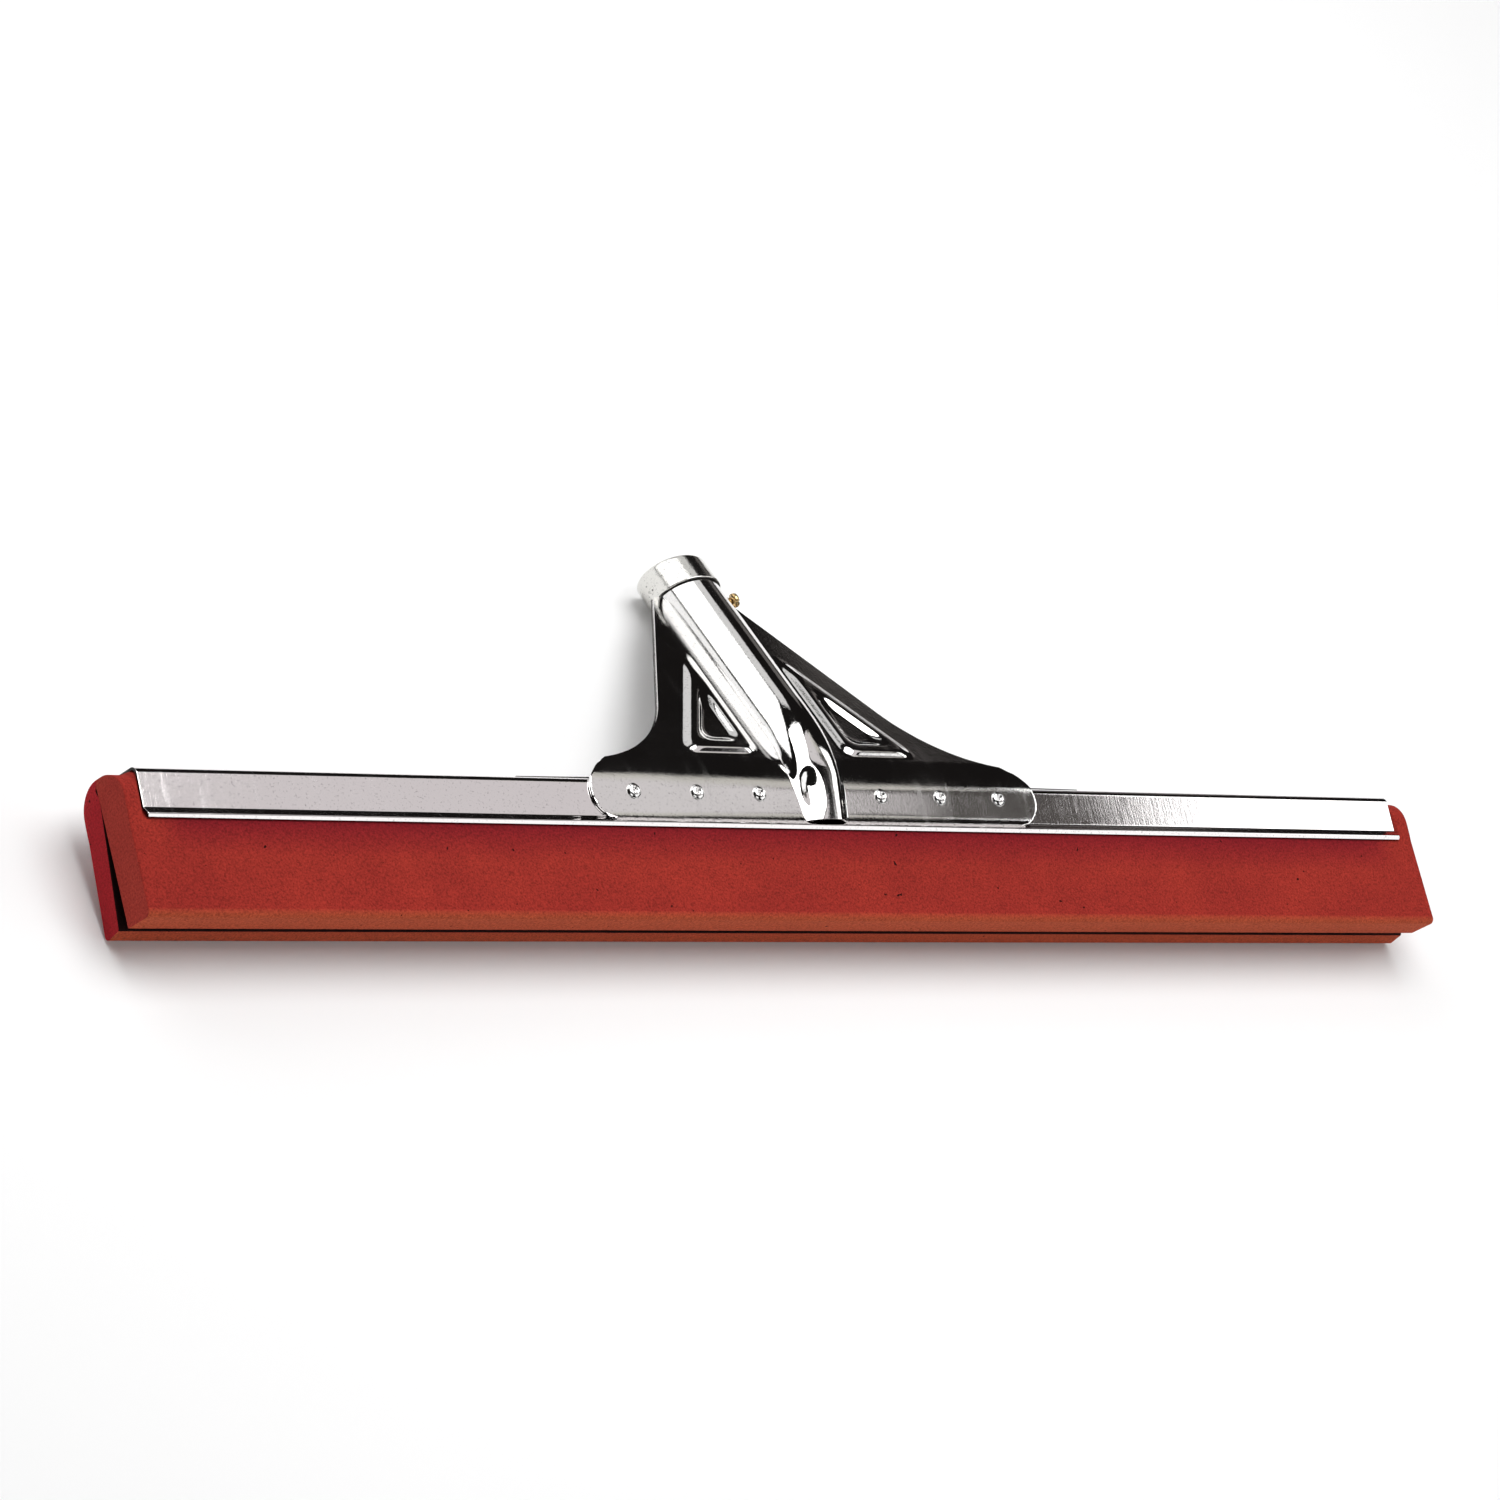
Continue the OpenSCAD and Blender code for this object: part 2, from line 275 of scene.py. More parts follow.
def outer_face(side, squeeze):
    """A half of the strip's outline, from the wiping edge up and over to the fold's middle."""
    half = FREE["half"] + squeeze * (SQUEEZED["half"] - FREE["half"])
    r = FREE["r"] + squeeze * (SQUEEZED["r"] - FREE["r"])
    top = FREE["top"] + squeeze * (SQUEEZED["top"] - FREE["top"])
    wear_and_highlight = np.radians(np.linspace(-90, 0, 7))
    points = [(LIP_HALF + EDGE_R * (math.cos(a) - 1), EDGE_R * (math.sin(a) + 1)) for a in wear_and_highlight]
    points += [(LIP_HALF - 1.3 * z / 36, z) for z in np.linspace(3.5, 42, 21)]
    points += [(half, z) for z in np.linspace(45.8, top - r, 8)]
    corner = (half - r, top - r)
    points += [
        (corner[0] + r * math.cos(a), corner[1] + r * math.sin(a))
        for a in np.radians(np.linspace(6, 84, 14))
    ]
    points = [(side * y, z) for y, z in points]
    fold = [(side * corner[0] + (FOLD_Y - side * corner[0]) * k, top) for k in (0, 0.5, 1)]
    return points + fold


def inner_face(side):
    """The slit's wall, from the fold down to the wiping edge, past the eye of the fold."""
    if side < 0:
        eye = [(3.0, 62.0), (2.8, 61.0), (2.6, 59.4), (2.5, 58.0)]
        wall = [(2.25, 54.0), (1.0, 30.0), (-0.5, 0.3)]
        foot = [(-0.8, 0.0)]
    else:
        eye = [(3.2, 62.0), (3.9, 61.0), (3.6, 59.6), (2.6, 58.0)]
        wall = [(2.35, 54.0), (4.1, 30.0), (6.2, 1.9)]
        foot = [(6.7, 1.4)]
    points = list(eye)
    for (y0, z0), (y1, z1) in zip([eye[-1]] + wall, wall):
        count = max(1, round(abs(z1 - z0) / 2))
        parts = [k / count for k in range(1, count + 1)]
        points += [(y0 + (y1 - y0) * part, z0 + (z1 - z0) * part) for part in parts]
    return points + foot


def rubber_half(name, side, nodes, looks):
    """One lip with its half of the crown, which bends where the lip leaves the channel."""
    end = BLADE_HALF
    stations = [-end, -end + 1, -368.2, -367.4, -366.8, -366.3, -366.0]
    stations += list(np.linspace(-360, 360, 73)) + [-x for x in stations[::-1]]
    loops = []
    for x in stations:
        squeeze = 1 - smooth_step(abs(x), 366.1, 368.2)
        loop = outer_face(side, squeeze) + inner_face(side)
        loops.append([(x, y, z) for y, z in loop])
    grid = np.array(loops)
    rows, columns = grid.shape[:2]
    faces = grid_faces(rows, columns, flip=side < 0, wrap_columns=True)
    first = tuple(range(columns))
    last = tuple(range((rows - 1) * columns, rows * columns))
    faces += [first if side < 0 else first[::-1], last[::-1] if side < 0 else last]
    skin_look, end_look, slit_shade_look = looks
    piece = add_piece(name, grid.reshape(-1, 3), faces, skin_look, body=None)
    piece.data.materials.append(end_look)
    piece.data.materials.append(slit_shade_look)
    # The attribute holds the height that places the skin's painted shade under the channel's rim
    # and its painted highlight at the wiping edge; it keeps the shade off the blade's open ends.
    heights = piece.data.attributes.new("height", "FLOAT", "POINT")
    open_end = smooth_step(np.abs(grid[:, :, 0]), 345, 370)
    shown = grid[:, :, 2] - open_end * np.maximum(grid[:, :, 2] - 22, 0)
    heights.data.foreach_set("value", shown.ravel())
    skin = len(outer_face(side, 0)) - 1
    for index, face in enumerate(piece.data.polygons):
        if index >= len(faces) - 2:
            face.material_index = 1
            face.use_smooth = False
        elif index % columns == columns - 1:
            face.use_smooth = False
        # The slit's walls get a near-black rubber, a painted shade inside the slit.
        elif index % columns >= skin:
            face.material_index = 2
    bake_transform(piece)
    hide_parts(*nodes)


# ---- steel ----


def ripple(x, u, height, length):
    """A slight unevenness that any rolled or pressed sheet has."""
    waves = [(1.0, 0.31, 0.4), (0.63, -0.77, 1.9), (1.37, 0.52, 3.3), (-0.41, 1.21, 5.1)]
    scale = 2 * math.pi / length
    total = sum(np.sin(scale * (a * x + b * u) + shift) for a, b, shift in waves)
    return height * total / len(waves)


def channel_piece(material, edge_and_shadow):
    """The channel, from its rear rim over the top to its front rim."""
    half = [(16.0, 42.6), (16.8, 44.4), (14.2, 47.4), (14.2, 66)]
    corners = half + [(-y, z) for y, z in half[::-1]]
    path = rounded_path(corners, [0.9, 1.6, 3.8, 3.8, 1.6, 0.9], 0.6)
    normals = path_normals(path)
    xs = np.linspace(-CHANNEL_HALF + 0.8, CHANNEL_HALF - 0.8, 300)
    end = [CHANNEL_HALF - 0.45, CHANNEL_HALF]
    xs = np.concatenate([[-x for x in end[::-1]], xs, end])
    u = np.arange(len(path)) * 0.6
    lift = ripple(xs[None, :], u[:, None] * 2, 0.035, 90)
    section = path[:, None, :] + normals[:, None, :] * (lift[:, :, None] - 0.04)
    grid = np.concatenate([np.broadcast_to(xs[None, :, None], lift.shape + (1,)), section], axis=2)
    piece = sheet_metal("steel_channel", grid, material, True, edge_and_shadow)
    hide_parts("channel")


def wing_half_width(s):
    """Half width of a wing at the height s above the bend."""
    foot = [(0, 126.5), (2, 124.8), (4, 122.6), (5.5, 119.8)]
    arc = [
        (82 + 75 * math.sin(a), 129.5 + 75 * math.cos(a))
        for a in np.radians(np.linspace(-100, -150.4, 40))
    ]
    top = [(109, 28), (121, 21.2)]
    outline = np.array(foot + arc + top)
    return np.interp(s, outline[:, 0], outline[:, 1])


def columns_across(half):
    """Places across a sheet, dense round the socket and then evenly out to its half width."""
    bulge = TUBE_R * np.sin(np.radians(np.linspace(0, 90, 36)))
    crease = TUBE_R + np.array([0.3, 0.7, 1.2, 1.8, 2.5, 3.3, 4.2])
    inner = np.concatenate([bulge, crease])
    inner = inner * min(1, (half - 1) / inner[-1])
    outer = inner[-1] + (half - inner[-1]) * np.linspace(0, 1, COLUMNS + 1)[1:]
    side = np.concatenate([inner, outer])
    return np.concatenate([-side[:0:-1], side])


def necked(x, s):
    """Narrows the wings to the tube, where the shell goes on under the collar."""
    beyond = np.maximum(np.abs(x) - TUBE_R, 0)
    return np.where(s > WING_TOP, x - 0.94 * beyond * np.sign(x), x)


def ramp(value, width):
    """Rises from 0 to 1 over a width, with its two ends slightly rounded."""
    return smooth_min(smooth_max(value / width, 0, 0.25), 1, 0.25)


def emboss(x, s):
    """Height of the raised triangular ring on a wing: 0 outside it and in its pocket."""
    x = np.abs(x)
    slant = np.array([0.854, 0.519])

    def triangle(tube_side, bottom, reach):
        edge = smooth_max(tube_side - x, bottom - s, 7)
        return smooth_max(edge, slant[0] * x + slant[1] * s - reach, 8)

    outer = ramp(-triangle(25.2, 12.4, 66.4), 3.6)
    pocket = ramp(-triangle(31.6, 20.0, 59.6), 3.2)
    return 1.8 * (outer - pocket)


def skirt_end(z):
    """How far the rounded end of a skirt goes beyond its straight run, at the height z."""
    return np.sqrt(np.maximum(SKIRT_R**2 - (z - SKIRT_BOTTOM - SKIRT_R) ** 2, 0))


def front_shell(material):
    """The front half shell: skirt, fish-tail foot, half tube and two embossed wings."""
    lower = SKIRT_BOTTOM + SKIRT_R - SKIRT_R * np.cos(np.radians(np.linspace(0, 80, 16)))
    middle = np.arange(lower[-1] + 0.7, BEND_Z, 0.7)
    climb = np.concatenate([np.arange(0, 22, 0.45), np.arange(22, NECK_TOP, 0.85)])
    z = np.concatenate([lower, middle, BEND_Z + climb * CLIMB[1]])
    s = np.concatenate([0 * lower, 0 * middle, climb])
    half = np.where(s > 0, wing_half_width(s), SKIRT_RUN + skirt_end(z))
    x = np.array([columns_across(h) for h in half])
    z = np.broadcast_to(z[:, None], x.shape)
    s = (z - BEND_Z) / CLIMB[1]
    x = necked(x, s)
    lean = math.tan(LEAN)
    wing = SKIRT_Y - SHEET + SHEET / CLIMB[1] - (z - BEND_Z) * lean
    base = smooth_min(np.full_like(z, SKIRT_Y), wing, 5.0)
    # The skirt's lower edge turns out a little.
    base = base + 0.6 * np.clip(1 - (z - SKIRT_BOTTOM) / 4.5, 0, 1) ** 2
    base = base + emboss(x, s) / CLIMB[1] + ripple(x, z, 0.05, 70)
    arch = np.sqrt(np.maximum(TUBE_R**2 - x * x, 0)) / CLIMB[1]
    arch = arch - np.maximum(np.abs(x) - TUBE_R, 0) * 6
    tube = SKIRT_Y - SHEET - (z - BEND_Z) * lean + arch
    # The fish-tail foot widens as it rises, and has a hollow at its left.
    rise = (z - SKIRT_BOTTOM) / (BEND_Z - SKIRT_BOTTOM)
    depth = 3.4 + 1.0 * np.clip(rise, 0, 2)
    reach = 11.2 + 3.6 * np.clip(rise, 0, 2)
    foot = SKIRT_Y + depth * (1 - (x / reach) ** 4)
    dent = np.exp(-(((x + 7.6) / 4.4) ** 2) - ((z - 60) / 9.0) ** 2)
    foot = foot - 3.4 * dent
    bulge = np.where(z > 112, tube, smooth_min(tube, foot, 11.0))
    front = smooth_max(base, bulge, 2.6)
    grid = np.stack([x, -front, z], axis=2)
    piece = sheet_metal("front_shell", grid, material)
    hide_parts("bracket_front")


def rear_shell(material, edge_and_shadow):
    """The rear half shell: skirt, shelf over the channel, half tube and wings."""
    top = np.array([-SKIRT_Y + SHEET, BEND_Z]) - FACING * SHEET
    turn = top + CLIMB * (SHELF_Z - top[1]) / CLIMB[1]
    corners = [(SKIRT_Y, SKIRT_BOTTOM), (SKIRT_Y, SHELF_Z), turn, top + CLIMB * NECK_TOP]
    path = rounded_path(corners, [3.2, 2.0], 0.8)
    normals = path_normals(path)
    s = (path - top) @ CLIMB
    on_wing = (path[:, 0] < turn[0] + 0.2) | (s > 3)
    s = np.where(on_wing, s, 0)
    rear = REAR_RUN + skirt_end(path[:, 1])
    shelf = np.where(path[:, 0] > SHELF_BACK, rear, SKIRT_RUN)
    half = np.where(on_wing, np.minimum(wing_half_width(np.maximum(s, 0)), SKIRT_RUN), shelf)
    x = np.array([columns_across(h) for h in half])
    s = np.broadcast_to(s[:, None], x.shape)
    x = necked(x, s)
    arch = np.sqrt(np.maximum(TUBE_R**2 - x * x, 0)) - np.maximum(np.abs(x) - TUBE_R, 0) * 6
    arch = arch - SHEET
    arch = arch * smooth_step(s, 1, 13) - 12 * (1 - smooth_step(s, 1, 13))
    base = np.where(s > 0, emboss(x, s), 0) + ripple(x, s, 0.05, 70)
    lift = smooth_max(base, arch, 2.2)
    section = path[:, None, :] + normals[:, None, :] * lift[:, :, None]
    grid = np.concatenate([x[:, :, None], section], axis=2)
    piece = sheet_metal("rear_shell", grid, material, True, edge_and_shadow)
    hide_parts("bracket_rear")


def collar_ring(material, edge_and_shadow):
    """The ring round the mouth: rolled over at its top, cut obliquely like the mouth."""
    roll = 2.2
    rolled = [
        (COLLAR_R - roll + roll * math.cos(a), 1, -roll + roll * math.sin(a))
        for a in np.radians(np.linspace(0, 90, 9))
    ]
    wall = [(COLLAR_R, t, 0.35 * (1 - t) - roll * t) for t in np.linspace(0, 1, 60)]
    inside = [(BORE_R, 1, -0.5), (BORE_R, 1, -2.0), (COLLAR_R - SHEET, 1, -2.2)]
    bottom = [(COLLAR_R - SHEET, 0, 0.2), (COLLAR_R - SHEET + 0.2, 0, 0), (COLLAR_R - 0.35, 0, 0)]
    profile = wall + rolled[1:] + inside + bottom
    angles = np.radians(np.arange(0, 360, 1.0))
    rows = []
    for radius, t, offset in profile:
        r = np.full(len(angles), radius)
        tilt = -r * np.sin(angles) * MOUTH_SLOPE
        s = SOCKET_LEN - COLLAR_H * (1 - t) + offset + tilt
        if radius == COLLAR_R:
            r = r + ripple(angles * radius, s, 0.03, 24) - stake_marks(angles, s)
        rows.append(wing_points(r * np.cos(angles), r * np.sin(angles), s))
    grid = np.array(rows)
    faces = grid_faces(len(profile), len(angles), wrap_rows=True, wrap_columns=True)
    piece = add_piece("collar_ring", grid.reshape(-1, 3), faces, material)
    piece.data.materials.append(edge_and_shadow)
    # The collar's bottom cut edge takes the near-black steel: partly bare cut steel, partly a
    # painted shadow under the collar.
    shadow_edge_rows = (len(profile) - 3, len(profile) - 2)
    for face in piece.data.polygons:
        if face.index // len(angles) in shadow_edge_rows:
            face.material_index = 1
    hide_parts("collar")


def stake_marks(angles, s):
    """Depth of the two marks that hold the collar: a crescent and a round dimple."""
    def away(angle, height):
        arc = (np.degrees(angles) - angle + 180) % 360 - 180
        return np.hypot(np.radians(arc) * COLLAR_R, s - height)

    round_mark = 0.7 * np.exp(-((away(38, 132) / 2.2) ** 2))
    ring = 0.6 * np.exp(-(((away(186, 128.5) - 1.7) / 0.6) ** 2))
    return round_mark + ring


def wing_points(x, forward, s):
    """Points of the wings' frame: forward of the wings' plane, and s above the bend."""
    y = -SKIRT_Y + SHEET + s * CLIMB[0] + forward * FACING[0]
    z = BEND_Z + s * CLIMB[1] + forward * FACING[1]
    return np.stack([np.broadcast_to(x, y.shape), y, z], axis=-1)


def rivet_piece(number, material):
    """A rivet through both skirts: domed heads with a struck ring round a small hollow."""
    side = -1 if number < 4 else 1
    place = 4 - number if number < 4 else number - 3
    head = [(0.55, 0.75), (0.9, 0.78), (1.25, 1.25), (1.75, 1.5), (2.5, 1.3), (3.2, 0.85)]
    head += [(3.6, 0.4), (3.7, 0.1), (3.6, 0.0)]
    outer = [(r, SKIRT_Y + h) for r, h in head]
    profile = [(r, -d) for r, d in outer] + outer[::-1]
    centre = (side * place * RIVET_PITCH, 0, RIVET_Z)
    piece = lathe(f"rivet_head_{number}", profile, centre, (0, 1, 0), material)
    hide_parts(f"rivet_{number}")


def clamp_screw(joints, material):
    """The small slotted screw that holds the pole."""
    joint = [j for j in joints if j["name"] == "screw_turn"][0]
    to_blade = BLADE.inverted()
    axis = (to_blade.to_3x3() @ Vector(joint["axis"])).normalized()
    centre = to_blade @ Vector(joint["pos_m"])
    shank = [(1.9, 14.6), (1.9, 18.2), (1.5, 18.5)]
    head = [(3.1, 18.5), (3.4, 18.8), (3.4, 20.2), (3.0, 20.9), (2.2, 21.3), (1.0, 21.4)]
    piece = lathe("clamp_screw_head", shank + head, centre, axis, material, "screw", 48)
    off_slot = axis.cross(axis.orthogonal().normalized())
    for vertex in piece.data.vertices:
        place = to_blade @ vertex.co - centre
        if place.dot(axis) > 20.5 and abs(place.dot(off_slot)) < 0.55:
            vertex.co = BLADE @ (centre + place - axis * 0.9)
    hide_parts("clamp_screw")


# ---- materials ----


class Look:
    """A material with a Principled shader, and short calls to wire its nodes."""

    def __init__(self, name, **values):
        self.material = bpy.data.materials.new(name)
        self.material.use_nodes = True
        self.nodes = self.material.node_tree.nodes
        self.links = self.material.node_tree.links
        self.shader = self.nodes["Principled BSDF"]
        for socket, value in values.items():
            self.shader.inputs[socket.replace("_", " ")].default_value = value
        self.place = self.nodes.new("ShaderNodeTexCoord").outputs["Object"]

    def link(self, source, target):
        self.links.new(source, target)

    def noise(self, scale, detail=3.0, roughness=0.5, stretch=(1, 1, 1)):
        mapping = self.nodes.new("ShaderNodeMapping")
        mapping.inputs["Scale"].default_value = stretch
        self.link(self.place, mapping.inputs["Vector"])
        node = self.nodes.new("ShaderNodeTexNoise")
        node.inputs["Scale"].default_value = scale
        node.inputs["Detail"].default_value = detail
        node.inputs["Roughness"].default_value = roughness
        self.link(mapping.outputs["Vector"], node.inputs["Vector"])
        return node.outputs["Fac"]

    def ramp(self, source, stops):
        node = self.nodes.new("ShaderNodeValToRGB")
        elements = node.color_ramp.elements
        while len(elements) < len(stops):
            elements.new(0.5)
        for element, (position, value) in zip(elements, stops):
            element.position = position
            shade = value if isinstance(value, tuple) else (value, value, value)
            element.color = (*shade, 1)
        self.link(source, node.inputs["Fac"])
        return node.outputs["Color"]

    def spread(self, source, low, high, to_low, to_high):
        """Maps a source's values from low..high to to_low..to_high."""
        node = self.nodes.new("ShaderNodeMapRange")
        node.inputs["From Min"].default_value = low
        node.inputs["From Max"].default_value = high
        node.inputs["To Min"].default_value = to_low
        node.inputs["To Max"].default_value = to_high
        self.link(source, node.inputs["Value"])
        return node.outputs["Result"]

    def mix(self, factor, a, b, blend="MIX"):
        """Mixes two colours; each input is a number, a colour or another node's output."""
        node = self.nodes.new("ShaderNodeMix")
        node.data_type = "RGBA"
        node.blend_type = blend
        for socket, value in (("Factor", factor), ("A", a), ("B", b)):
            found = [i for i in node.inputs if i.name == socket and i.enabled][0]
            if isinstance(value, (float, int, tuple)):
                found.default_value = (*value, 1) if isinstance(value, tuple) else value
            else:
                self.link(value, found)
        return [o for o in node.outputs if o.enabled][0]

    def bump(self, heights):
        """Chains bumps: heights lists (source, strength, distance in mm)."""
        normal = None
        for source, strength, distance in heights:
            node = self.nodes.new("ShaderNodeBump")
            node.inputs["Strength"].default_value = strength
            node.inputs["Distance"].default_value = distance * MM
            self.link(source, node.inputs["Height"])
            if normal:
                self.link(normal, node.inputs["Normal"])
            normal = node.outputs["Normal"]
        self.link(normal, self.shader.inputs["Normal"])


def rubber_look(name, light, dark, rim_shade=None, wear_and_highlight=None):
    """Moss rubber: an open-pored skin with cloudy colour and a few dark specks.

    The two optional colours are a painted shade under the channel's rim and a painted highlight on
    the lit faces at the wiping edge.
    """
    look = Look(name, Roughness=0.9, Specular_IOR_Level=0.12)
    cloud = look.noise(38, 5, 0.6)
    grain = look.noise(1000, 3, 0.7)
    colour = look.ramp(cloud, [(0.3, dark), (0.7, light)])
    if rim_shade:
        height = look.nodes.new("ShaderNodeAttribute")
        height.attribute_name = "height"
        # Painted shade: the skin turns crimson under the channel's rim.
        colour = look.mix(look.spread(height.outputs["Fac"], 26, 42, 0, 0.9), colour, rim_shade)
        # Painted highlight: the lit faces at the wiping edge turn orange.
        colour = look.mix(look.spread(height.outputs["Fac"], 3.6, 0.6, 0, 0.9), colour, wear_and_highlight)
    speckle = look.ramp(grain, [(0.32, 0.6), (0.5, 1.0), (0.68, 1.32)])
    colour = look.mix(1.0, colour, speckle, "MULTIPLY")
    pores = look.noise(330, 1, 0.4)
    specks = look.ramp(pores, [(0.2, 0.06), (0.232, 1.0)])
    colour = look.mix(1.0, colour, specks, "MULTIPLY")
    look.link(colour, look.shader.inputs["Base Color"])
    look.bump([(cloud, 0.25, 0.4), (grain, 0.6, 0.2)])
    return look.material


def steel_look(name, tint, smooth, rough, streaks=0.0, peel=0.25, pit=0.62):
    """Bright plating over sheet: faint die marks, orange peel, scuffs and dark pits.

    smooth and rough are the range of its roughness. peel and streaks are the strengths of
    its fine and its drawn-out bumps, and pit is how bright the pits are beside the tint.
    """
    look = Look(name, Metallic=1.0)
    cloud = look.noise(26, 4, 0.65)
    fine = look.noise(900, 3, 0.6)
    scuffs = look.noise(420, 4, 0.7, stretch=(1, 0.06, 0.06))
    scratches = look.noise(160, 2, 0.5, stretch=(1, 0.12, 0.12))
    base = look.spread(cloud, 0.4, 0.68, smooth, rough)
    wear_and_highlight = look.spread(scratches, 0.58, 0.75, 0, 0.08)
    total = look.nodes.new("ShaderNodeMath")
    look.link(base, total.inputs[0])
    look.link(wear_and_highlight, total.inputs[1])
    look.link(total.outputs["Value"], look.shader.inputs["Roughness"])
    shade = look.ramp(fine, [(0.25, tuple(c * pit for c in tint)), (0.42, tint)])
    look.link(shade, look.shader.inputs["Base Color"])
    look.bump([(cloud, 0.3, 0.12), (fine, peel, 0.05), (scuffs, streaks, 0.05)])
    return look.material


def brass_look():
    """Turned brass, stained by handling."""
    look = Look("turned_brass", Metallic=1.0)
    grain = look.noise(2500, 2, 0.5)
    stain = look.noise(400, 4, 0.6)
    colour = look.ramp(stain, [(0.35, (0.26, 0.15, 0.05)), (0.65, (0.72, 0.52, 0.26))])
    look.link(colour, look.shader.inputs["Base Color"])
    look.link(look.spread(stain, 0.3, 0.7, 0.28, 0.1), look.shader.inputs["Roughness"])
    look.bump([(grain, 0.15, 0.04)])
    return look.material


# ---- studio ----


def soft_box(name, place, size, radiance, tint=(1, 1, 1)):
    """A rectangular light of a given brightness that faces the head."""
    light = bpy.data.lights.new(name, "AREA")
    light.shape = "RECTANGLE"
    light.size, light.size_y = size
    light.energy = math.pi * size[0] * size[1] * radiance
    light.color = tint
    lamp = bpy.data.objects.new(name, light)
    bpy.context.scene.collection.objects.link(lamp)
    lamp.location = place
    lamp.rotation_euler = (-Vector(place)).to_track_quat("-Z", "Y").to_euler()
    lamp.visible_camera = False


def sky_box(name, azimuths, heights, radiance, tint=(1, 1, 1), distance=2.6):
    """A soft box over a patch of the sky, given by azimuths from +Y to +X and by heights."""
    azimuth, height = (math.radians(sum(pair) / 2) for pair in (azimuths, heights))
    spans = [math.tan(math.radians(pair[1] - pair[0]) / 2) for pair in (azimuths, heights)]
    level = math.cos(height)
    towards = Vector((level * math.sin(azimuth), level * math.cos(azimuth), math.sin(height)))
    size = (2 * distance * level * spans[0], 2 * distance * spans[1])
    soft_box(name, towards * distance, size, radiance, tint)


def studio():
    """A plain pale floor and backdrop, with soft boxes round the head."""
    look = Look("studio_white", Roughness=0.9, Specular_IOR_Level=0.1)
    tone = look.ramp(look.noise(2, 2), [(0.3, (0.94, 0.94, 0.94)), (0.7, (0.96, 0.96, 0.96))])
    look.link(tone, look.shader.inputs["Base Color"])
    bpy.ops.mesh.primitive_plane_add(size=16, location=(0, 0, -0.0004))
    floor = bpy.context.object
    floor.name = "studio_floor"
    floor.data.materials.append(look.material)
    bpy.ops.mesh.primitive_cylinder_add(radius=7.5, depth=8, end_fill_type="NOTHING", vertices=96)
    backdrop = bpy.context.object
    backdrop.name = "studio_backdrop"
    glow = Look("backdrop_white", Base_Color=(0, 0, 0, 1), Emission_Strength=1.0)
    glow.shader.inputs["Emission Color"].default_value = (0.97, 0.97, 0.97, 1)
    backdrop.data.materials.append(glow.material)
    backdrop.visible_glossy = False
    backdrop.visible_diffuse = False
    backdrop.visible_shadow = False
    soft_box("overhead", (0, 0.3, 1.9), (1.7, 1.7), 4.0)
    sky_box("left_box", (-62, -3), (4, 46), 1.7)
    sky_box("rear_box", (3, 22), (6, 46), 0.75)
    sky_box("wing_glow", (43.8, 52), (6, 19.9), 0.13, (1.0, 0.93, 0.9))
    sky_box("right_high_box", (50, 90), (49.0, 64), 0.72, (1.0, 0.955, 0.965))
    sky_box("foot_box", (56, 76), (44.8, 49), 0.6, (1.0, 0.97, 0.9))
    sky_box("right_gap_box", (77, 90), (43.2, 48.9), 0.085, (1.0, 0.93, 0.88))
    sky_box("right_box", (72, 90), (26, 43.1), 2.2)
    sky_box("front_right_box", (96, 150), (14, 52), 1.25)
    sky_box("front_fill", (190, 225), (18, 44), 1.5)
    world = bpy.data.worlds.new("studio_world")
    world.use_nodes = True
    world.node_tree.nodes["Background"].inputs["Color"].default_value = (0.009, 0.008, 0.0078, 1)
    bpy.context.scene.world = world
    bpy.context.scene.view_settings.view_transform = "Standard"


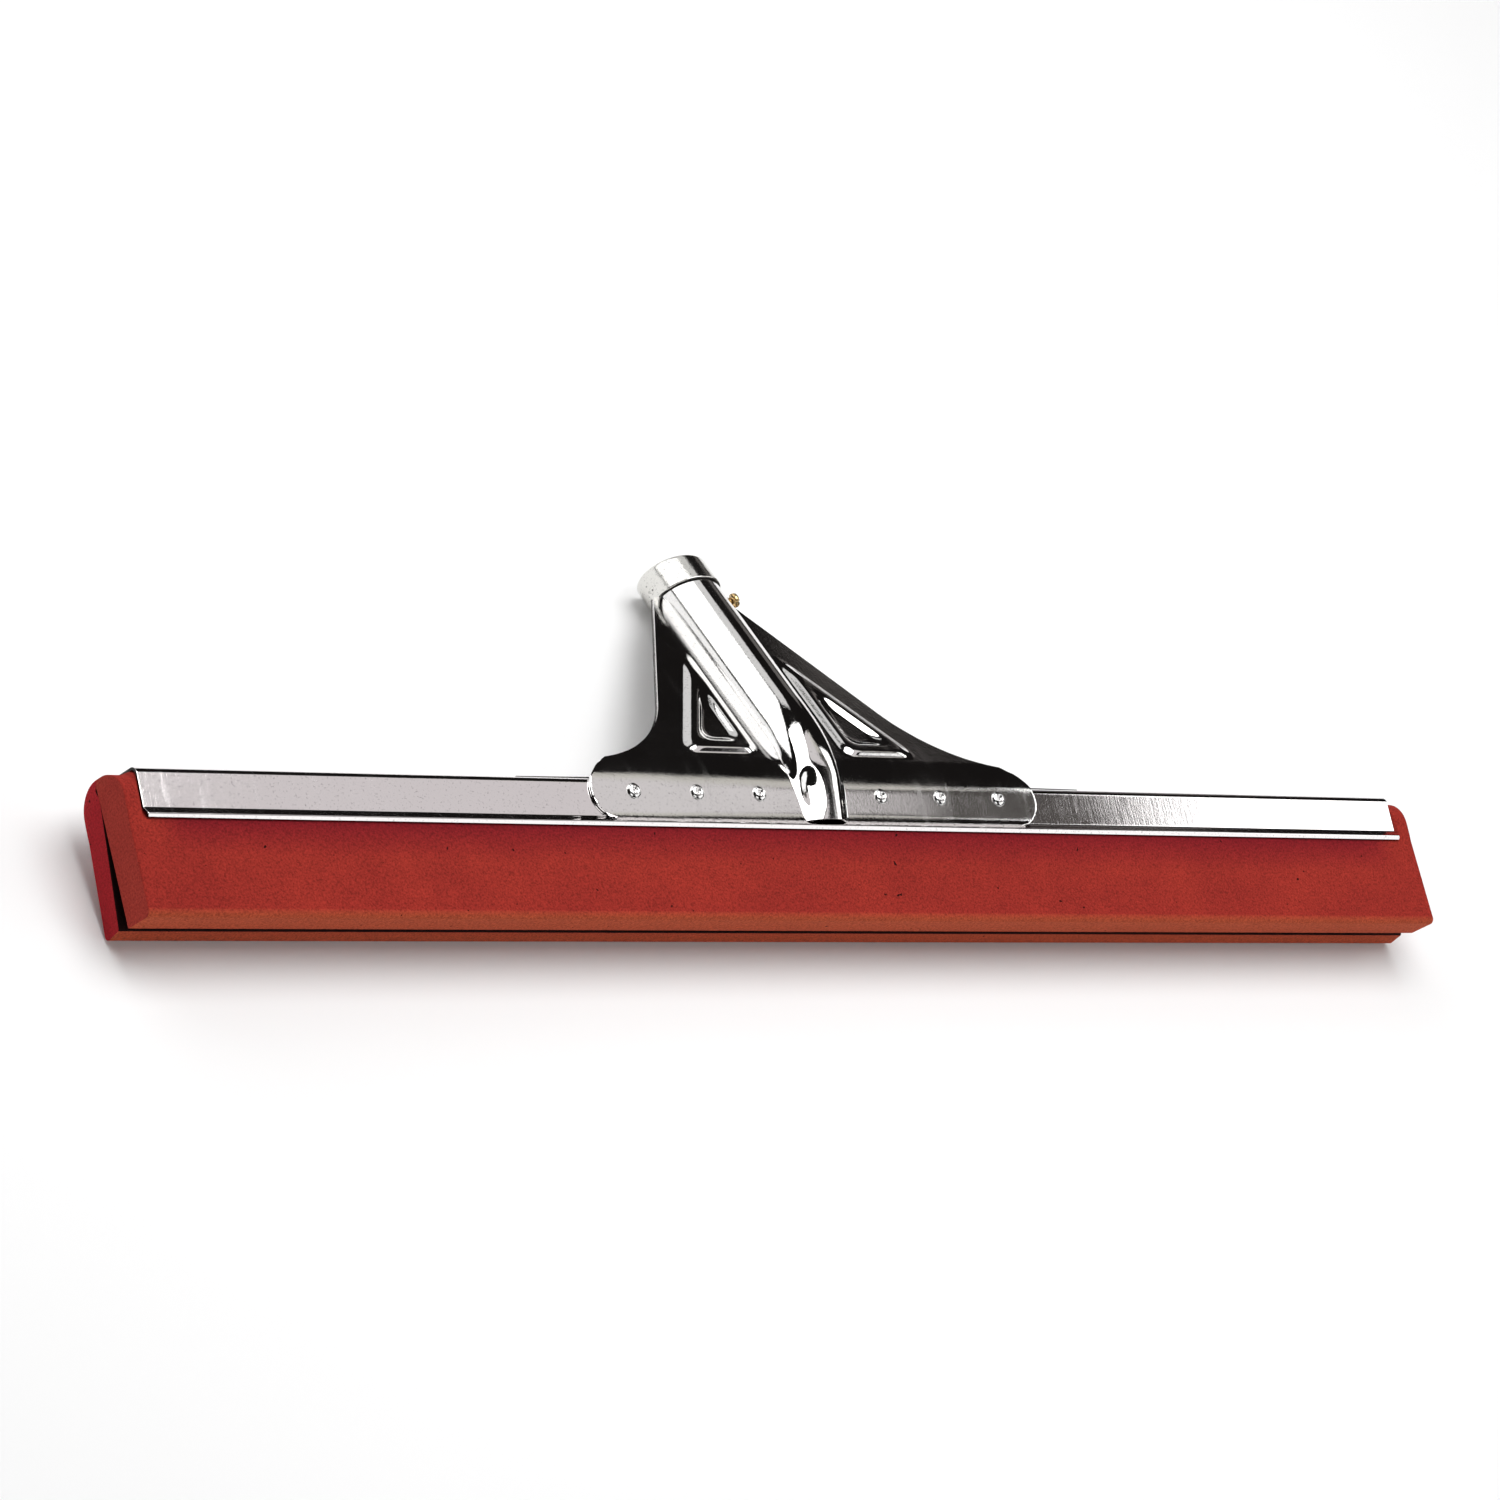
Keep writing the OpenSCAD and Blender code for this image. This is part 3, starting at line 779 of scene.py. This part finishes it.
def camera():
    """The camera looks at the front from the lower left, rolled with the head."""
    data = bpy.data.cameras.new("camera")
    data.sensor_width = 36
    data.lens = 143.3
    data.clip_end = 50
    view = bpy.data.objects.new("camera", data)
    bpy.context.scene.collection.objects.link(view)
    turn = Matrix.Rotation(math.radians(-42.30), 3, "Z")
    turn = turn @ Matrix.Rotation(math.radians(90 + 16.39), 3, "X")
    turn = turn @ Matrix.Rotation(math.radians(-12.73), 3, "Z")
    place = BLADE.to_3x3().normalized() @ turn
    view.matrix_world = Matrix.Translation(placed_point(*CAMERA_PLACE)) @ place.to_4x4()
    bpy.context.scene.camera = view


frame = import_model()
BLADE = blade_frame({joint["name"]: joint for joint in frame["joints"]})

camera()
studio()

# The first colour is a painted highlight on the lit wiping edge, the second a painted shade under
# the channel's rim.
orange = (0.47, 0.085, 0.036)
rim_shade_crimson = (0.19, 0.007, 0.014)
skin = rubber_look("rubber_skin_painted_light", (0.335, 0.029, 0.019), (0.275, 0.022, 0.016), rim_shade_crimson, orange)
front_end = rubber_look("rubber_cut_end", (0.38, 0.042, 0.028), (0.31, 0.030, 0.022))
# A near-black rubber for the slit's walls: painted shade inside the slit.
slit = rubber_look("rubber_slit_painted_shade", (0.02, 0.004, 0.004), (0.012, 0.003, 0.003))
rear_end = rubber_look("rubber_cut_rear", (0.40, 0.018, 0.024), (0.33, 0.012, 0.018))
front_nodes = ["lip_front", "rubber_crown"]
rubber_half("rubber_front_lip", -1, front_nodes, (skin, front_end, slit))
rubber_half("rubber_rear_lip", 1, ["lip_rear"], (skin, rear_end, slit))

# Near-black steel for the sheets' cut edges: partly their bare cut steel, partly a painted shadow
# along the rims and under the collar.
edge_shadow_steel = steel_look("cut_edge_painted_shadow_steel", (0.035, 0.032, 0.03), 0.35, 0.55)
shell_steel = steel_look("plated_shell", (0.80, 0.79, 0.78), 0.045, 0.12, peel=0.4)
channel_steel = steel_look("plated_channel", (0.80, 0.77, 0.77), 0.045, 0.1, streaks=0.4)
collar_steel = steel_look("plated_collar", (0.72, 0.71, 0.68), 0.08, 0.2, peel=1.0, pit=0.2)
rivet_steel = steel_look("plated_rivet", (0.82, 0.81, 0.80), 0.12, 0.25)
channel_piece(channel_steel, edge_shadow_steel)
front_shell(shell_steel)
rear_shell(shell_steel, edge_shadow_steel)
collar_ring(collar_steel, edge_shadow_steel)
for number in range(1, 7):
    rivet_piece(number, rivet_steel)
clamp_screw(frame["joints"], brass_look())
